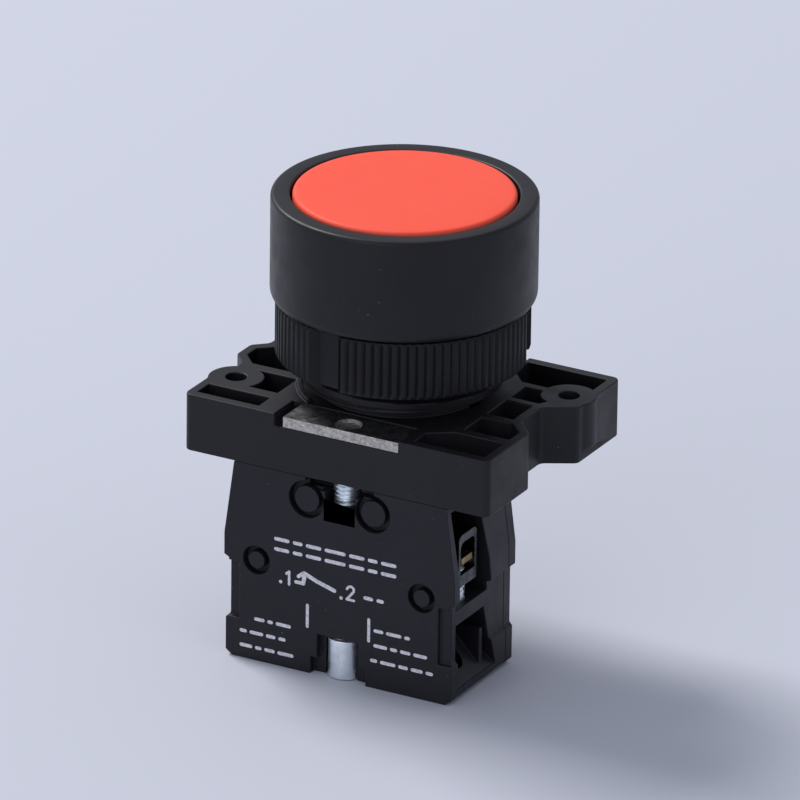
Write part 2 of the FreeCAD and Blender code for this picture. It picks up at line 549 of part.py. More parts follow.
for name, side in (("left", -1), ("right", 1)):
    terminal = new_body("terminal_" + name)
    strip = new_sketch(terminal, "XY", "strip_lower")
    outer = "clamp_y - terminal_half_y"
    inner = "clamp_y + terminal_half_y"
    add_loop(strip, [
        (f"{side} * terminal_outer_x", outer), (f"{side} * terminal_outer_x", inner),
        (f"{side} * (cavity_half - 0.1)", inner), (f"{side} * (cavity_half - 0.1)", "-4.2"),
        (f"{side} * 4.2", "-4.2"), (f"{side} * 4.2", "-cavity_front + 0.1"),
        (f"{side} * (pocket_inner + 0.1)", "-cavity_front + 0.1"), (f"{side} * (pocket_inner + 0.1)", outer)])
    extrude(terminal, strip, "strip_upper - strip_lower")

    cage = new_body("wire_clamp_" + name)
    frame = new_sketch(cage, "YZ", "-cage_half_x")
    add_box(frame, "-cage_half_y", "cage_bottom", "cage_half_y", "cage_top")
    add_box(frame, "-cage_half_y + cage_side", "cage_nut_top", "cage_half_y - cage_side",
            "cage_top - cage_web")
    extrude(cage, frame, "2 * cage_half_x")
    tapped = new_sketch(cage, "XY", "cage_nut_top")
    add_circle(tapped, "0", "0", "cage_thread")
    extrude(cage, tapped, "cage_nut_top - cage_bottom", cut=True)
    place(cage, f"{side} * clamp_x", "clamp_y")

    slotted_screw("clamp_screw_" + name, [
        ("0", "clamp_head_bottom"), ("clamp_screw_head", "clamp_head_bottom"),
        ("clamp_screw_head", "clamp_head_top"), ("thread_radius", "clamp_head_top"),
        ("thread_radius", "clamp_screw_top"), ("0", "clamp_screw_top")],
        "driver_slot / 2", "0.8", "clamp_head_bottom", f"{side} * clamp_x", "clamp_y")

# ---- check and export ---------------------------------------------------------------------------

doc.recompute()
for item in doc.Objects:
    if "Invalid" in item.State or "Error" in item.State:
        raise RuntimeError(f"{item.Label} did not rebuild: {item.State}")
for item in nodes:
    solid = item.Shape
    if solid.isNull() or not solid.isValid() or len(solid.Solids) != 1:
        raise RuntimeError(f"{item.Label} is not one valid solid")
    solid.exportStep(f"parts/{item.Label}.step")
    box = solid.BoundBox
    print(f"{item.Label:18s} {solid.Volume:9.1f} mm3  x {box.XMin:7.2f} {box.XMax:7.2f}"
          f"  y {box.YMin:7.2f} {box.YMax:7.2f}  z {box.ZMin:7.2f} {box.ZMax:7.2f}")
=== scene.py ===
import bpy
import bmesh
import json
import math
from mathutils import Matrix, Vector


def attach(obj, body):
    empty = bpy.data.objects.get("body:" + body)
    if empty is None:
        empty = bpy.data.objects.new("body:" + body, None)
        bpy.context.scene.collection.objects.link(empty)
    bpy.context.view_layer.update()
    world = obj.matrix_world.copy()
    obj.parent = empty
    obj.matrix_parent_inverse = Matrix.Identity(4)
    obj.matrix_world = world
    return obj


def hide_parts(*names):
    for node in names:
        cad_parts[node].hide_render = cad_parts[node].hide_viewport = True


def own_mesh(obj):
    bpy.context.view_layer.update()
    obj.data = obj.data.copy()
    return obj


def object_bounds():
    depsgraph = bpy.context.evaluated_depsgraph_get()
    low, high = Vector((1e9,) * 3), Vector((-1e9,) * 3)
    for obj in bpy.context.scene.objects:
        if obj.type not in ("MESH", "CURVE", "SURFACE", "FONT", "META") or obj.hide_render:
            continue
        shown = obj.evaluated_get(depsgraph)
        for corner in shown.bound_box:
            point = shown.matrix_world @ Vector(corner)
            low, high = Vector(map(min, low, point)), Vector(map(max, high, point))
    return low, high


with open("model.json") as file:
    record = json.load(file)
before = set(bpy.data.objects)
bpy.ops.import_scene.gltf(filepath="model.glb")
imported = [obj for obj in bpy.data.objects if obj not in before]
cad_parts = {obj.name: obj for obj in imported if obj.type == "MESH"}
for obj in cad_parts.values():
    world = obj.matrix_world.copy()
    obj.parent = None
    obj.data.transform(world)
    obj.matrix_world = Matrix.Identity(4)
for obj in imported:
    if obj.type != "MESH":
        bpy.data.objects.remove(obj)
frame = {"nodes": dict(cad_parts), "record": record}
cad_low, cad_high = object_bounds()
MM = 0.001
DUST_SPACING = 0.9 * MM
DUST_GREY = (0.30, 0.30, 0.33)
GRAIN_SIZE = 0.35 * MM
GRAIN_DEPTH = 0.010 * MM
WAVE_DEPTH = 0.04 * MM


# ---- materials ----------------------------------------------------------------------------------

class Shader:
    """A Principled material whose textures read object coordinates, in metres."""

    def __init__(self, name, colour, roughness, metallic=0.0, gloss=0.5):
        self.material = bpy.data.materials.new(name)
        self.material.use_nodes = True
        self.nodes = self.material.node_tree.nodes
        self.links = self.material.node_tree.links
        self.shader = self.nodes["Principled BSDF"]
        self.shader.inputs["Base Color"].default_value = (*colour, 1)
        self.shader.inputs["Roughness"].default_value = roughness
        self.shader.inputs["Metallic"].default_value = metallic
        self.shader.inputs["Specular IOR Level"].default_value = gloss
        self.place = self.nodes.new("ShaderNodeTexCoord").outputs["Object"]
        self.colour = None
        self.height = None

    def stretched(self, scale):
        """The texture place, scaled by a factor on each axis."""
        mapping = self.nodes.new("ShaderNodeMapping")
        mapping.inputs["Scale"].default_value = scale
        self.links.new(self.place, mapping.inputs["Vector"])
        return mapping.outputs["Vector"]

    def noise(self, size, detail=3.0, rough=0.55, stretch=(1, 1, 1)):
        """Noise whose features are about size metres across."""
        node = self.nodes.new("ShaderNodeTexNoise")
        node.inputs["Scale"].default_value = 1 / size
        node.inputs["Detail"].default_value = detail
        node.inputs["Roughness"].default_value = rough
        source = self.place if stretch == (1, 1, 1) else self.stretched(stretch)
        self.links.new(source, node.inputs["Vector"])
        return node.outputs["Fac"]

    def ramp(self, factor, low, high, start=0.0, end=1.0):
        """Map factor from low..high to start..end, held at both ends."""
        node = self.nodes.new("ShaderNodeMapRange")
        node.inputs["From Min"].default_value = low
        node.inputs["From Max"].default_value = high
        node.inputs["To Min"].default_value = start
        node.inputs["To Max"].default_value = end
        self.links.new(factor, node.inputs["Value"])
        return node.outputs["Result"]

    def tint(self, factor, colour):
        """Lay a second colour over the first where factor is high."""
        node = self.nodes.new("ShaderNodeMix")
        node.data_type = "RGBA"
        if self.colour is None:
            node.inputs["A"].default_value = self.shader.inputs["Base Color"].default_value
        else:
            self.links.new(self.colour, node.inputs["A"])
        node.inputs["B"].default_value = (*colour, 1)
        self.links.new(factor, node.inputs["Factor"])
        self.colour = node.outputs["Result"]
        self.links.new(self.colour, self.shader.inputs["Base Color"])

    def roughen(self, factor):
        """Let factor set the roughness."""
        self.links.new(factor, self.shader.inputs["Roughness"])

    def bump(self, factor, depth, strength=1.0):
        """Add relief of a depth in metres, on top of the relief already there."""
        node = self.nodes.new("ShaderNodeBump")
        node.inputs["Strength"].default_value = strength
        node.inputs["Distance"].default_value = depth
        self.links.new(factor, node.inputs["Height"])
        if self.height is not None:
            self.links.new(self.height, node.inputs["Normal"])
        self.height = node.outputs["Normal"]
        self.links.new(self.height, self.shader.inputs["Normal"])

    def dust(self, amount, colour):
        """Sparse specks, gathered in patches."""
        cells = self.nodes.new("ShaderNodeTexVoronoi")
        cells.inputs["Scale"].default_value = 1 / DUST_SPACING
        self.links.new(self.place, cells.inputs["Vector"])
        speck = self.ramp(cells.outputs["Distance"], 0.10, 0.04)
        patch = self.ramp(self.noise(5 * MM, 4), 0.56, 0.70, 0.0, amount)
        both = self.nodes.new("ShaderNodeMath")
        both.operation = "MULTIPLY"
        self.links.new(speck, both.inputs[0])
        self.links.new(patch, both.inputs[1])
        self.tint(both.outputs[0], colour)


def lighter(colour, gain):
    """A colour made lighter by gain and a small offset."""
    return [min(1, c * gain + 0.004) for c in colour]


def moulded(name, colour, roughness, dusty=0.5, gloss=0.28):
    """Moulded plastic: a spark-eroded grain, broad waves, cloudy gloss, pale speckle and a little dust."""
    paint = Shader(name, colour, roughness, 0.0, gloss)
    cloud = paint.noise(6 * MM, 4)
    paint.tint(paint.ramp(cloud, 0.35, 0.75, 0.0, 0.35), lighter(colour, 1.35))
    paint.roughen(paint.ramp(paint.noise(2.5 * MM, 5), 0.3, 0.7, roughness - 0.06, roughness + 0.07))
    paint.bump(paint.noise(GRAIN_SIZE, 2), GRAIN_DEPTH)
    paint.bump(paint.noise(7 * MM, 2), WAVE_DEPTH, 0.6)
    speckle = paint.noise(0.12 * MM, 2, 0.6)
    paint.tint(paint.ramp(speckle, 0.50, 0.72, 0.0, 0.5), lighter(colour, 1.9))
    if dusty:
        paint.dust(dusty, DUST_GREY)
    return paint.material


def metal(name, colour, dark, roughness, size, stretch=(1, 1, 1), depth=0.004 * MM):
    """Bare or plated metal with blotches and fine scratches along the stretched way."""
    paint = Shader(name, colour, roughness, 1.0)
    paint.tint(paint.ramp(paint.noise(size, 6, 0.7), 0.38, 0.66), dark)
    paint.roughen(paint.ramp(paint.noise(size * 0.6, 4), 0.3, 0.7, roughness - 0.08, roughness + 0.12))
    paint.bump(paint.noise(size * 0.4, 4, 0.6, stretch), depth)
    return paint.material


HEAD = moulded("bezel_black", (0.0066, 0.0062, 0.0082), 0.43, gloss=0.29)
NUT = moulded("nut_black", (0.0060, 0.0060, 0.0078), 0.50, gloss=0.22)
BASE = moulded("base_black", (0.0088, 0.0086, 0.0107), 0.46, dusty=0.7)
BLOCK = moulded("block_black", (0.0096, 0.0092, 0.0136), 0.43, dusty=0.7)
RUBBER = moulded("gasket_rubber", (0.008, 0.008, 0.008), 0.75)
ACETAL = moulded("pusher_white", (0.72, 0.72, 0.68), 0.42, dusty=0, gloss=0.5)
PLUNGER = moulded("plunger_red", (0.50, 0.035, 0.02), 0.42, dusty=0, gloss=0.5)
STRIP = metal("strip_steel", (0.225, 0.226, 0.230), (0.082, 0.081, 0.080), 0.46, 0.9 * MM,
              depth=0.010 * MM)
# A lighter copy of the strip steel for the strips' upright faces and tapped holes: painted light where those
# faces and the far hole wall catch the lamps, with vertical scratches. The tops keep the darker strip steel:
# painted shade.
STRIP_SIDE_LIT = metal("strip_side_painted_light", (0.64, 0.61, 0.57), (0.26, 0.25, 0.235), 0.50, 0.35 * MM,
                   (1, 1, 4), 0.020 * MM)
ZINC = metal("zinc_plate", (0.90, 0.96, 1.00), (0.68, 0.75, 0.80), 0.36, 1.6 * MM, (1, 1, 8))
# The clamp steel is made nearly black to stand for the shade inside the side openings: painted shade.
CLAMP_STEEL_SHADED = metal("clamp_steel_painted_shade", (0.085, 0.088, 0.094), (0.030, 0.031, 0.034), 0.28, 0.8 * MM,
             (1, 1, 3), 0.008 * MM)
OXIDE = metal("black_oxide", (0.055, 0.055, 0.058), (0.028, 0.028, 0.030), 0.40, 1.2 * MM)
WIRE = metal("spring_wire", (0.45, 0.44, 0.42), (0.25, 0.24, 0.23), 0.32, 1.0 * MM)
# The brass is darkened to stand for the shade in the side openings, where the terminals show through the
# clamps: painted shade.
BRASS_SHADED = metal("terminal_brass", (0.34, 0.24, 0.11), (0.16, 0.11, 0.055), 0.40, 2.0 * MM)
SILVER = metal("contact_silver", (0.86, 0.85, 0.82), (0.55, 0.53, 0.50), 0.22, 0.6 * MM)

cap_paint = Shader("cap_red", (0.905, 0.093, 0.050), 0.55, 0.0, 0.22)
cap_paint.shader.inputs["Subsurface Weight"].default_value = 0.08
cap_paint.shader.inputs["Subsurface Radius"].default_value = (0.0012, 0.0004, 0.0003)
cap_paint.tint(cap_paint.ramp(cap_paint.noise(7 * MM, 4), 0.35, 0.72, 0.0, 0.5), (0.925, 0.109, 0.062))
cap_paint.roughen(cap_paint.ramp(cap_paint.noise(2 * MM, 5), 0.3, 0.7, 0.50, 0.60))
cap_paint.bump(cap_paint.noise(0.30 * MM, 2), 0.007 * MM)
cap_paint.bump(cap_paint.noise(9 * MM, 1), 0.050 * MM, 0.6)
CAP = cap_paint.material

ink_paint = Shader("print_white", (0.72, 0.72, 0.77), 0.55)
ink_paint.tint(ink_paint.ramp(ink_paint.noise(0.25 * MM, 3), 0.42, 0.70, 0.0, 0.55), (0.22, 0.22, 0.25))
ink_paint.bump(ink_paint.noise(0.2 * MM, 2), 0.004 * MM)
INK = ink_paint.material

LOOK_OF_SLOT = {
    "head_black": HEAD, "base_black": BASE, "block_black": BLOCK, "nut_black": NUT, "cap_red": CAP,
    "pusher_white": ACETAL, "plunger_red": PLUNGER, "rubber_black": RUBBER, "strip_steel": STRIP,
    "zinc_steel": ZINC, "black_steel": OXIDE, "spring_steel": WIRE, "terminal_brass": BRASS_SHADED,
    "contact_silver": SILVER}
SLOT_OF = {entry["node"]: entry["material_slot"] for entry in frame["record"]["subparts"]}
BODY_OF = {node: body for body, members in frame["record"]["behaviour"]["bodies"].items() for node in members}
for node, thing in frame["nodes"].items():
    thing.data.materials.clear()
    thing.data.materials.append(LOOK_OF_SLOT[SLOT_OF[node]])


# ---- mesh tools ---------------------------------------------------------------------------------

def shade(mesh, angle=32):
    """Smooth faces, with every edge sharper than angle kept crisp."""
    work = bmesh.new()
    work.from_mesh(mesh)
    bmesh.ops.recalc_face_normals(work, faces=work.faces)
    for face in work.faces:
        face.smooth = True
    for edge in work.edges:
        edge.smooth = len(edge.link_faces) == 2 and edge.calc_face_angle() < math.radians(angle)
    work.to_mesh(mesh)
    work.free()


def placed(name, data):
    """A new object in the scene."""
    thing = bpy.data.objects.new(name, data)
    bpy.context.scene.collection.objects.link(thing)
    return thing


def add_piece(name, mesh, node, material=None, angle=32):
    """Make an object of a mesh in metres that stands for a CAD node and rides with its body."""
    shade(mesh, angle)
    piece = placed(name, mesh)
    mesh.materials.clear()
    mesh.materials.append(material or LOOK_OF_SLOT[SLOT_OF[node]])
    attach(piece, BODY_OF[node])
    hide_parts(node)
    return piece


def mesh_of(name, points, faces):
    """A mesh in metres from points in millimetres."""
    mesh = bpy.data.meshes.new(name)
    mesh.from_pydata([[c * MM for c in p] for p in points], [], faces)
    mesh.validate()
    return mesh


def rounded(profile, cuts=4):
    """Replace each corner (r, z, radius) with an arc; corners without a radius stay sharp."""
    result = []
    count = len(profile)
    for i, corner in enumerate(profile):
        here = Vector(corner[:2])
        radius = corner[2] if len(corner) > 2 else 0
        if not radius:
            result.append(tuple(here))
            continue
        back = (Vector(profile[i - 1][:2]) - here).normalized()
        on = (Vector(profile[(i + 1) % count][:2]) - here).normalized()
        half = back.angle(on) / 2
        centre = here + (back + on).normalized() * radius / math.sin(half)
        arm = here + back * (radius / math.tan(half)) - centre
        sweep = math.pi - 2 * half
        if back.x * on.y - back.y * on.x < 0:
            sweep = -sweep
        for j in range(cuts + 1):
            turn = -sweep * j / cuts
            result.append((centre.x + arm.x * math.cos(turn) - arm.y * math.sin(turn),
                           centre.y + arm.x * math.sin(turn) + arm.y * math.cos(turn)))
    return result


def lathe(name, profile, steps=160, shape=None):
    """Turn a closed (r, z) profile round Z; shape may change r by angle and height."""
    points = []
    faces = []
    rows = len(profile)
    for i in range(steps):
        turn = 2 * math.pi * i / steps
        for r, z in profile:
            reach = shape(r, z, turn) if shape else r
            points.append((reach * math.cos(turn), reach * math.sin(turn), z))
    for i in range(steps):
        after = (i + 1) % steps
        for j in range(rows):
            k = (j + 1) % rows
            faces.append((i * rows + j, after * rows + j, after * rows + k, i * rows + k))
    mesh = mesh_of(name, points, faces)
    work = bmesh.new()
    work.from_mesh(mesh)
    bmesh.ops.remove_doubles(work, verts=work.verts, dist=1e-6)
    work.to_mesh(mesh)
    work.free()
    return mesh


def refined(node, name, width, segments=2, reshape=None, soft=None, material=None, sunk=None):
    """A copy of a CAD node's mesh with flat faces merged and every hard edge rounded by width.

    reshape moves each corner (x, y, z), soft is a test for edges and the radius to bend them by, and
    sunk is the height of a flat face along Y, the rim left round it and the depth it sinks by.
    """
    mesh = frame["nodes"][node].data.copy()
    work = bmesh.new()
    work.from_mesh(mesh)
    bmesh.ops.remove_doubles(work, verts=work.verts, dist=2e-6)
    bmesh.ops.dissolve_limit(work, angle_limit=math.radians(0.6), verts=work.verts, edges=work.edges)
    if reshape:
        for corner in work.verts:
            corner.co = Vector(reshape(*(corner.co / MM))) * MM
    if soft:
        test, radius = soft
        chosen = [e for e in work.edges if test(e.verts[0].co / MM, e.verts[1].co / MM)]
        bmesh.ops.bevel(work, geom=chosen, offset=radius * MM, segments=6, profile=0.5, affect="EDGES")
    if sunk:
        rear, rim, depth = sunk
        bmesh.ops.recalc_face_normals(work, faces=work.faces)
        flat = [f for f in work.faces if abs(f.calc_center_median().y / MM - rear) < 0.01]
        bmesh.ops.inset_region(work, faces=flat, thickness=rim * MM, depth=-depth * MM, use_even_offset=True)
    work.to_mesh(mesh)
    work.free()
    piece = add_piece(name, mesh, node, material)
    bevel = piece.modifiers.new("edges", "BEVEL")
    bevel.width = width * MM
    bevel.segments = segments
    bevel.limit_method = "ANGLE"
    bevel.angle_limit = math.radians(38)
    bevel.use_clamp_overlap = False
    bevel.harden_normals = True
    return piece


def joined(first, *others):
    """Add the parts of other meshes to the first one."""
    work = bmesh.new()
    work.from_mesh(first)
    for other in others:
        work.from_mesh(other)
    work.to_mesh(first)
    work.free()
    return first


def moved(mesh, x, y):
    """Shift a mesh sideways, in millimetres."""
    mesh.transform(Matrix.Translation((x * MM, y * MM, 0)))
    return mesh


def brick(name, low, high, edge):
    """A box from corner to corner, in millimetres, with chamfered edges."""
    work = bmesh.new()
    bmesh.ops.create_cube(work, size=1)
    middle = (Vector(low) + Vector(high)) / 2
    size = Vector(high) - Vector(low)
    for corner in work.verts:
        corner.co = Vector([middle[i] + corner.co[i] * size[i] for i in range(3)]) * MM
    bmesh.ops.bevel(work, geom=work.edges[:], offset=edge * MM, segments=2, profile=0.5, affect="EDGES")
    mesh = bpy.data.meshes.new(name)
    work.to_mesh(mesh)
    work.free()
    return mesh


def coil(name, centre, radius, wire, turns, low, high):
    """A round wire wound up from low to high, its ends closed."""
    steps = int(turns * 36)
    sides = 12
    points = []
    rise = (high - low - 2 * wire) / steps
    for i in range(steps + 1):
        turn = 2 * math.pi * turns * i / steps
        for j in range(sides):
            around = 2 * math.pi * j / sides
            reach = radius + wire * math.cos(around)
            points.append((centre[0] + reach * math.cos(turn), centre[1] + reach * math.sin(turn),
                           low + wire + rise * i + wire * math.sin(around)))
    faces = [tuple(range(sides)), tuple(range(steps * sides, (steps + 1) * sides))]
    for i in range(steps):
        for j in range(sides):
            k = (j + 1) % sides
            faces.append((i * sides + j, i * sides + k, (i + 1) * sides + k, (i + 1) * sides + j))
    return mesh_of(name, points, faces)


# ---- head ---------------------------------------------------------------------------------------

# Sizes and heights are in millimetres, with Z = 0 at the underside of the bezel.
PITCH = 1.5
SHANK_RADIUS = 11.0
SHANK_END = -9.5
THREAD_LOW = -9.3
THREAD_HIGH = -0.9
THREAD_RUNOUT = 0.3
THREAD_DEPTH = 0.55
ROW_STEP = 0.1
BEZEL_RADIUS = 14.5
BEZEL_TOP = 11.7


def threaded(r, z, turn):
    """The shank's thread, fading out at both ends."""
    if abs(r - SHANK_RADIUS) > 0.01 or not THREAD_LOW < z < THREAD_HIGH:
        return r
    phase = (z / PITCH + turn / (2 * math.pi)) % 1.0
    fade = min(1.0, (z - THREAD_LOW) / THREAD_RUNOUT, (THREAD_HIGH - z) / THREAD_RUNOUT)
    return r - THREAD_DEPTH * fade * min(1.0, max(0.0, 1.25 - abs(phase - 0.5) * 5))


thread_rows = [(SHANK_RADIUS, SHANK_END + ROW_STEP * i) for i in range(95)]
bezel_and_neck = rounded([
    (14.05, 0.0), (14.22, 0.12), (14.37, 0.35), (14.46, 0.62), (BEZEL_RADIUS, 0.95),
    (BEZEL_RADIUS, BEZEL_TOP, 0.45), (12.4, BEZEL_TOP, 0.25), (12.4, 2.0), (4.25, 2.0), (4.25, 1.7),
    (5.2, 1.7), (5.2, 0.9), (4.25, 0.9), (4.25, 0.2), (7.6, 0.2), (7.6, -15.0), (8.6, -15.0, 0.1),
    (8.6, SHANK_END)], 6)
gasket_groove = rounded([(SHANK_RADIUS, 0.0), (11.6, 0.0), (11.6, 0.7), (13.2, 0.7), (13.2, 0.0)])
head_profile = bezel_and_neck + thread_rows + gasket_groove
lugs = [brick("lug", (low, -1.4, -14.4), (high, 1.4, -12.6), 0.15)
        for low, high in ((-9.2, -8.2), (8.2, 9.2))]
add_piece("bezel_and_shank", joined(lathe("bezel_and_shank", head_profile, 220, threaded), *lugs),
          "head_housing", angle=40)

# The cap's face is dished by a few hundredths of a millimetre.
cap_profile = rounded([
    (0.0, 11.91), (6.0, 11.925), (10.8, 11.945), (12.12, 11.90, 0.50), (12.2, 6.6, 0.1), (11.0, 6.6),
    (11.0, 9.8), (4.2, 9.8), (4.2, -1.0), (2.6, -1.0), (2.6, 5.0), (0.0, 5.0)], 8)
add_piece("cap_red", lathe("cap_red", cap_profile, 200), "button_cap", angle=40)

pusher_profile = rounded([
    (0.0, 4.6), (0.0, -9.4), (5.4, -9.4), (5.7, -9.15), (6.3, -9.15), (6.6, -9.4), (7.3, -9.4, 0.2),
    (7.3, -8.0, 0.2), (4.0, -8.0, 0.4), (4.0, -1.0), (2.6, -1.0), (2.6, 4.6, 0.2)])
pusher_profile.reverse()
add_piece("pusher_turned", lathe("pusher_turned", pusher_profile, 96), "pusher")

ring_profile = rounded([(8.65, -10.3), (9.2, -10.3, 0.05), (9.2, -9.5, 0.1), (8.65, -9.5)])
add_piece("seat_ring_round", lathe("seat_ring_round", ring_profile, 160), "seat_ring")

gasket_profile = rounded([
    (11.6, -0.3, 0.08), (12.1, -0.3, 0.08), (12.4, -0.1, 0.08), (12.7, -0.3, 0.08), (13.2, -0.3, 0.08),
    (13.2, 0.7), (11.6, 0.7)])
add_piece("gasket_lipped", lathe("gasket_lipped", gasket_profile, 160), "panel_gasket")

seal_profile = rounded([
    (4.26, 0.9, 0.1), (5.2, 0.9, 0.1), (5.2, 1.7, 0.1), (4.26, 1.7, 0.1), (4.26, 1.5, 0.05),
    (4.42, 1.3, 0.05), (4.26, 1.1, 0.05)])
add_piece("stem_seal_lipped", lathe("stem_seal_lipped", seal_profile, 96), "stem_seal")

washer_profile = rounded([(11.05, -0.95, 0.1), (12.4, -0.95, 0.1), (12.4, -0.35, 0.1), (11.05, -0.35, 0.1)])
add_piece("washer_ring", lathe("washer_ring", washer_profile, 160), "nut_washer")

NUT_RADIUS = 13.9
NUT_BORE = 11.05
NUT_TOP = -0.35
NUT_LOW_ROWS = -6.35
NUT_BOTTOM = -6.75
NUT_THREAD_DEPTH = 0.35
NUT_LEAD = 0.35
WASHER_SEAT = (12.5, -1.0)
RIBS = 90
RIB_DEPTH = 0.26
STEPS_PER_RIB = 12
GRIP = math.radians(-97)
FLAT_DISTANCE = 13.06
FLAT_HALF = 2.3
FIRST_FLAT_END = 1.4
FLAT_EDGE = 0.25
FIRST_FLAT_SLOPE = 0.7
THIRD = 2 * math.pi / 3


def knurled(r, z, turn):
    """Ninety ribs with three smooth grip flats, chamfered at both ends, and a thread in the bore.

    The first flat has a sloped step on one side and is a little narrower on the other.
    """
    if r < 11.2:
        phase = (z / PITCH + turn / (2 * math.pi)) % 1.0
        rise = min(1.0, max(0.0, abs(phase - 0.5) * 5 - 1.0))
        return r + NUT_THREAD_DEPTH * rise * (-6.6 < z < -1.1)
    if r < 13.2:
        return r
    lead = min(1.0, max(0.0, min(NUT_TOP - z, z - NUT_BOTTOM) / NUT_LEAD))
    off = (turn - GRIP + THIRD / 2) % THIRD - THIRD / 2
    across = NUT_RADIUS * math.sin(off)
    first = math.cos(turn - GRIP) > 0.5
    end = FIRST_FLAT_END if first else FLAT_HALF
    if -FLAT_HALF < across < end:
        slope = FIRST_FLAT_SLOPE if first else FLAT_EDGE
        edge = min(1.0, (FLAT_HALF + across) / slope, (end - across) / FLAT_EDGE)
        return r - (NUT_RADIUS - FLAT_DISTANCE / math.cos(off)) * edge - 0.12 * (1 - lead)
    phase = ((turn - GRIP) * RIBS / (2 * math.pi)) % 1.0
    hollow = max(0.0, 1.0 - abs(phase - 0.5) / 0.27) ** 0.8
    return r - RIB_DEPTH * hollow * (0.25 + 0.75 * lead) - 0.20 * (1 - lead)


nut_rows = [(NUT_RADIUS, NUT_TOP - ROW_STEP * i) for i in range(5)]
nut_rows += [(NUT_RADIUS, -3.6)]
nut_rows += [(NUT_RADIUS, NUT_LOW_ROWS - ROW_STEP * i) for i in range(5)]
nut_bore = [(NUT_BORE, NUT_BOTTOM + 0.115 * i) for i in range(50)]
nut_profile = nut_bore + [(NUT_BORE, WASHER_SEAT[1]), WASHER_SEAT, (WASHER_SEAT[0], NUT_TOP)] + nut_rows
nut_profile.reverse()
nut_mesh = lathe("knurled_nut", nut_profile, RIBS * STEPS_PER_RIB, knurled)
add_piece("knurled_nut", nut_mesh, "fixing_nut", angle=48)

# ---- base and block -----------------------------------------------------------------------------

# The M3 screws: thread sizes, and where their axes are.
M3_OUTER = 1.5
M3_INNER = 1.2
M3_CORE = 1.15
M3_PITCH = 0.5
STRIP_Y = 12.0
CLAMP_X = 11.3
CLAMP_Y = -9.2
CLAMP_SCREW_HEAD = -30.2
PLUNGER_Y = -5.4

refined("mounting_base", "base_moulding", 0.16)


def wide_hole(x, y, z):
    """Open a strip's hole to the thread's outer size."""
    reach = math.hypot(x, abs(y) - STRIP_Y)
    if reach > 1.3:
        return x, y, z
    middle = math.copysign(STRIP_Y, y)
    return x * M3_OUTER / reach, middle + (y - middle) * M3_OUTER / reach, z


for node, name, side in (("nut_plate_front", "front_strip", -1), ("nut_plate_rear", "rear_strip", 1)):
    piece = refined(node, name, 0.06, 2, wide_hole)
    piece.data.materials.append(STRIP_SIDE_LIT)
    # Upright faces get the lighter copy and flat tops the darker one: painted light and shade by the way each
    # face looks.
    for face in piece.data.polygons:
        face.material_index = int(abs(face.normal.z) < 0.5)
    tapped = [(M3_OUTER, -11.02), (1.28, -11.24)]
    for groove in range(4):
        tapped += [(1.23, -11.30 - 0.22 * groove), (1.42, -11.41 - 0.22 * groove)]
    tapped += [(1.24, -12.17), (M3_OUTER, -12.18)]
    # The tapped thread takes the lighter copy as well: a painted highlight on the hole's wall.
    thread = moved(lathe(name + "_thread", tapped, 48), 0, side * STRIP_Y)
    add_piece(name + "_thread", thread, node, STRIP_SIDE_LIT, angle=20)


def screw_thread(name, low, high, lower=None):
    """A threaded M3 sleeve from low to high; with lower, a plain shank carries on down to it."""
    rows = int((high - low) / (M3_PITCH / 8))

    def wave(r, z, turn):
        if r < M3_INNER - 0.02 or z < low + 0.01:
            return r
        phase = (z / M3_PITCH - turn / (2 * math.pi)) % 1.0
        lead = min(1.0, (z - low) / M3_PITCH, max(0.0, (high - z) / (0.6 * M3_PITCH)))
        return M3_INNER + (M3_OUTER - M3_INNER) * lead * max(0.0, min(1.0, 1.5 - abs(phase - 0.5) * 4))

    profile = [(M3_OUTER, low + (high - low) * i / rows) for i in range(rows + 1)]
    if lower is not None:
        profile = [(M3_OUTER - 0.02, lower), (M3_OUTER - 0.02, low)] + profile
    else:
        profile = [(M3_INNER, low)] + profile[1:]
    bottom = profile[0][1]
    return lathe(name, profile + [(M3_INNER - 0.1, high), (M3_INNER - 0.1, bottom)], 72, wave)


def thinned(middle_x, middle_y, head_top):
    """A reshape that shrinks a screw above its head to the core of its thread."""
    def reshape(x, y, z):
        reach = math.hypot(x - middle_x, y - middle_y)
        if z < head_top or reach < 1.0:
            return x, y, z
        return middle_x + (x - middle_x) * M3_CORE / reach, middle_y + (y - middle_y) * M3_CORE / reach, z
    return reshape


refined("block_screw", "mounting_screw", 0.12, 3, thinned(0, -STRIP_Y, -35.7))
thread = screw_thread("mounting_screw_thread", -19.9, -12.3, -35.75)
add_piece("mounting_screw_thread", moved(thread, 0, -STRIP_Y), "block_screw", angle=25)

refined("block_housing", "block_shell", 0.12)
refined("block_cover", "block_back", 0.08, sunk=(-0.05, 1.0, 0.3))

# Moulding marks in the cover's sunken back: a cross rib, two upright ribs and four ejector discs.
MARK_FOOT = -0.36
disc_profile = [
    (0.0, 0.0), (0.0, 0.14), (1.25, 0.14), (1.25, 0.18), (1.5, 0.18), (1.6, 0.08), (1.6, 0.0)]
back_marks = [brick("rib", (-11.6, MARK_FOOT, -28.9), (11.6, -0.16, -28.1), 0.08)]
for side in (-1, 1):
    left = side * 6.0 - 0.4
    back_marks.append(brick("rib", (left, MARK_FOOT, -38.6), (side * 6.0 + 0.4, -0.12, -18.9), 0.08))
    for height in (-22.4, -35.2):
        disc = lathe("disc", disc_profile, 48)
        disc.transform(Matrix.Translation((side * 9.6 * MM, MARK_FOOT * MM, height * MM))
                       @ Matrix.Rotation(math.radians(-90), 4, "X"))
        back_marks.append(disc)
add_piece("block_back_marks", joined(*back_marks), "block_cover", angle=30)

refined("ear_screw_left", "ear_screw_a", 0.12)
refined("ear_screw_right", "ear_screw_b", 0.12)

# ---- contact mechanism and wire clamps ----------------------------------------------------------

def clamp_shoulder(start, end):
    """Whether an edge is at one of the two upper bends of a wire clamp's strap."""
    return min(start.z, end.z) > -22.8 and abs(start.x - end.x) > 3


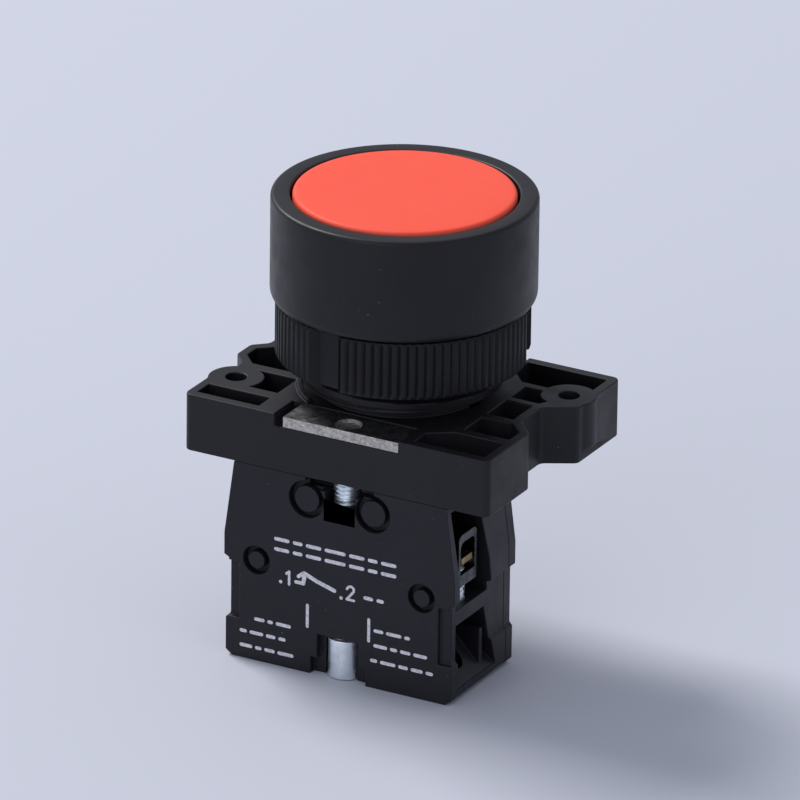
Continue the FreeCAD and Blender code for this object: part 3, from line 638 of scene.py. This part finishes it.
refined("plunger", "plunger_moulding", 0.10)
refined("contact_bridge", "bridge_bar", 0.08)
for hand, side in (("left", -1), ("right", 1)):
    refined("terminal_" + hand, "terminal_strip_" + hand, 0.07)
    # The clamps take the darkened steel: painted shade in the side openings.
    refined("wire_clamp_" + hand, "clamp_cage_" + hand, 0.07, soft=(clamp_shoulder, 0.75), material=CLAMP_STEEL_SHADED)
    for kind, foot, crown in (("moving_tip", -26.33, -25.83), ("fixed_tip", -25.3, -25.8)):
        down = math.copysign(1, foot - crown)
        rim = [(1.0, foot), (1.0, crown + 0.22 * down), (0.86, crown + 0.08 * down),
               (0.5, crown + 0.015 * down), (0.0, crown), (0.0, foot)]
        if down > 0:
            rim.reverse()
        name = kind + "_disc_" + hand
        add_piece(name, moved(lathe(name, rim, 40), side * 5.4, PLUNGER_Y), kind + "_" + hand, angle=50)
    clamp_core = thinned(side * CLAMP_X, CLAMP_Y, CLAMP_SCREW_HEAD)
    refined("clamp_screw_" + hand, "clamp_screw_core_" + hand, 0.10, reshape=clamp_core)
    name = "clamp_screw_thread_" + hand
    thread = screw_thread(name, CLAMP_SCREW_HEAD, -26.02)
    add_piece(name, moved(thread, side * CLAMP_X, CLAMP_Y), "clamp_screw_" + hand, angle=25)

# Node, piece, centre, coil radius, wire radius, turns, lower end, upper end, and for the two that
# shorten with a joint: the joint, the height that stays put and the share of the length that is left.
# Here the joint only gives those two a mesh of their own; the height and the share are not used.
SPRINGS = (
    ("return_spring", "return_coil", (0, 0), 6.6, 0.3, 4.5, 2.0, 9.8,
     "button_press", 9.8, 0.449),
    ("plunger_spring", "plunger_coil", (0, PLUNGER_Y), 1.25, 0.2, 7.5, -38.9, -31.6,
     "plunger_travel", -38.9, 0.397),
    ("contact_spring", "contact_coil", (0, PLUNGER_Y), 0.9, 0.16, 6.5, -30.5, -26.93,
     None, 0, 1))
for node, name, centre, radius, wire, turns, low, high, joint, anchor, keep in SPRINGS:
    piece = add_piece(name, coil(name, centre, radius, wire, turns, low, high), node, angle=60)
    if joint:
        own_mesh(piece)

# ---- front marks --------------------------------------------------------------------------------

# Everything here is a flat stroke on the block's front face. Dashes stand where the printing is.
FACE = -13.85
DASH = 0.42
SMALL_DASH = 0.40
GAP = 0.42
SMALL_GAP = 0.34
TICK = 0.36
END_STEPS = 6
mark_points = []
mark_faces = []


def stroke(start, end, width):
    """A flat printed stroke on the front face from start to end, given as (x, z), with round ends."""
    first = Vector(start)
    last = Vector(end)
    along = (last - first).normalized() if (last - first).length else Vector((1, 0))
    outline = []
    for middle, face in ((last, 0), (first, 1)):
        for i in range(END_STEPS + 1):
            turn = math.pi * (face - 0.5 + i / END_STEPS) + math.atan2(along.y, along.x)
            outline.append((middle.x + width / 2 * math.cos(turn), middle.y + width / 2 * math.sin(turn)))
    base = len(mark_points)
    count = len(outline)
    # Strokes that overlap differ a little in height, so that their faces don't coincide.
    height = 0.02 + 0.002 * (len(mark_faces) // (count + 2) % 7)
    mark_points.extend((x, FACE, z) for x, z in outline)
    mark_points.extend((x, FACE - height, z) for x, z in outline)
    mark_faces.append(tuple(base + i for i in range(count)))
    mark_faces.append(tuple(base + count + i for i in reversed(range(count))))
    for i in range(count):
        j = (i + 1) % count
        mark_faces.append((base + i, base + count + i, base + count + j, base + j))


def path(points, width):
    """Strokes from each point to the next."""
    for start, end in zip(points, points[1:]):
        stroke(start, end, width)


def dashes(left, right, height, width, lengths, gap):
    """A row of dashes from left, repeating the lengths until it reaches right."""
    x = left
    i = 0
    while x + lengths[i % len(lengths)] <= right + 1e-6:
        size = lengths[i % len(lengths)]
        stroke((x + width / 2, height), (x + size - width / 2, height), width)
        x += size + gap
        i += 1


for height in (-25.42, -26.62):
    dashes(-8.0, 8.7, height, DASH, (1.9, 1.2, 1.9, 2.6), GAP)

# The first terminal's number, the contact symbol and the second terminal's number.
stroke((-7.15, -30.35), (-7.15, -30.35), DASH)
path([(-6.45, -29.25), (-6.1, -28.95), (-6.1, -30.45)], 0.30)
path([(-5.25, -29.95), (-4.35, -29.95)], DASH)
path([(-4.95, -29.25), (-4.25, -28.7)], DASH)
path([(-4.35, -29.95), (-4.15, -28.75), (-2.6, -29.35), (-0.5, -29.95)], 0.48)
stroke((0.35, -30.6), (0.35, -30.6), DASH)
path([(1.05, -29.4), (1.25, -29.1), (1.6, -29.0), (1.9, -29.2), (1.9, -29.55), (1.05, -30.6),
      (1.95, -30.6)], 0.28)
dashes(3.1, 7.6, -29.95, DASH, (1.2, 0.9, 1.6), GAP)

for side in (-1, 1):
    path([(side * 3.8, -32.4), (side * 3.8, -34.9)], TICK)
for left, right, height, lengths in (
        (-10.4, -4.5, -35.45, (1.3, 0.7, 1.9)),
        (-12.2, -5.6, -37.15, (0.9, 1.7, 1.2)),
        (-12.2, -3.8, -38.85, (1.6, 0.8, 1.3, 2.0)),
        (4.4, 8.9, -33.55, (1.2, 1.9, 0.7)),
        (4.4, 11.4, -35.30, (1.7, 0.9, 1.3)),
        (4.0, 12.6, -37.10, (0.9, 1.9, 1.2, 1.5))):
    dashes(left, right, height, SMALL_DASH, lengths, SMALL_GAP)
marks = mesh_of("front_print", mark_points, mark_faces)
shade(marks, 20)
marks.materials.append(INK)
print_piece = placed("front_print", marks)
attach(print_piece, "frame")

# ---- floor, light and camera --------------------------------------------------------------------

HALF_FLOOR = 3000
floor_corners = [(x * HALF_FLOOR, y * HALF_FLOOR, 0) for x, y in ((-1, -1), (1, -1), (1, 1), (-1, 1))]
floor = placed("floor", mesh_of("floor", floor_corners, [(0, 1, 2, 3)]))
floor.location.z = cad_low.z
floor_paint = Shader("floor_pale", (0.53, 0.55, 0.62), 0.62)
floor.data.materials.append(floor_paint.material)


LIT_POINT = Vector((0, 0, -0.012))
WARM = (1.0, 0.99, 0.98)
COOL = (0.93, 0.95, 1.0)


def area_light(name, spot, power, size, colour):
    """A soft light of size metres at spot, aimed at the object."""
    lamp = bpy.data.lights.new(name, "AREA")
    lamp.shape = "RECTANGLE"
    lamp.size = size[0]
    lamp.size_y = size[1]
    lamp.energy = power
    lamp.color = colour
    holder = placed(name, lamp)
    holder.location = spot
    holder.rotation_mode = "QUATERNION"
    holder.rotation_quaternion = (LIT_POINT - Vector(spot)).to_track_quat("-Z", "Y")


area_light("key", (-1.42, 0.45, 1.53), 41.0, (0.85, 0.85), WARM)
area_light("front_fill", (-0.20, -1.8, 0.75), 6.4, (1.4, 1.0), COOL)
area_light("right_fill", (0.8, -0.1, 0.30), 0.32, (0.5, 0.5), COOL)

world = bpy.data.worlds.new("studio")
world.use_nodes = True
sky = world.node_tree.nodes["Background"]
sky.inputs["Color"].default_value = (0.82, 0.86, 1.0, 1)
sky.inputs["Strength"].default_value = 0.50
bpy.context.scene.world = world
bpy.context.scene.view_settings.view_transform = "Standard"

AZIMUTH = math.radians(28.65)
ELEVATION = math.radians(22.37)
ROLL = math.radians(0.75)
DISTANCE = 1.3057
AIM = Vector((0.00188, -0.00398, -0.01067))
FOCAL_LENGTH = 544.4
SENSOR_WIDTH = 36.0
back = Vector((math.sin(AZIMUTH) * math.cos(ELEVATION), -math.cos(AZIMUTH) * math.cos(ELEVATION),
               math.sin(ELEVATION)))
right = Vector((math.cos(AZIMUTH), math.sin(AZIMUTH), 0))
right.rotate(Matrix.Rotation(ROLL, 3, back))
spot = back * DISTANCE
sight = (AIM - spot).normalized()
across = (right - sight * right.dot(sight)).normalized()
upward = across.cross(sight)
lens = bpy.data.cameras.new("camera")
lens.lens = FOCAL_LENGTH
lens.sensor_width = SENSOR_WIDTH
lens.clip_start = 0.05
lens.clip_end = 20.0
camera = placed("camera", lens)
camera.matrix_world = Matrix.Translation(spot) @ Matrix((across, upward, -sight)).transposed().to_4x4()
bpy.context.scene.camera = camera
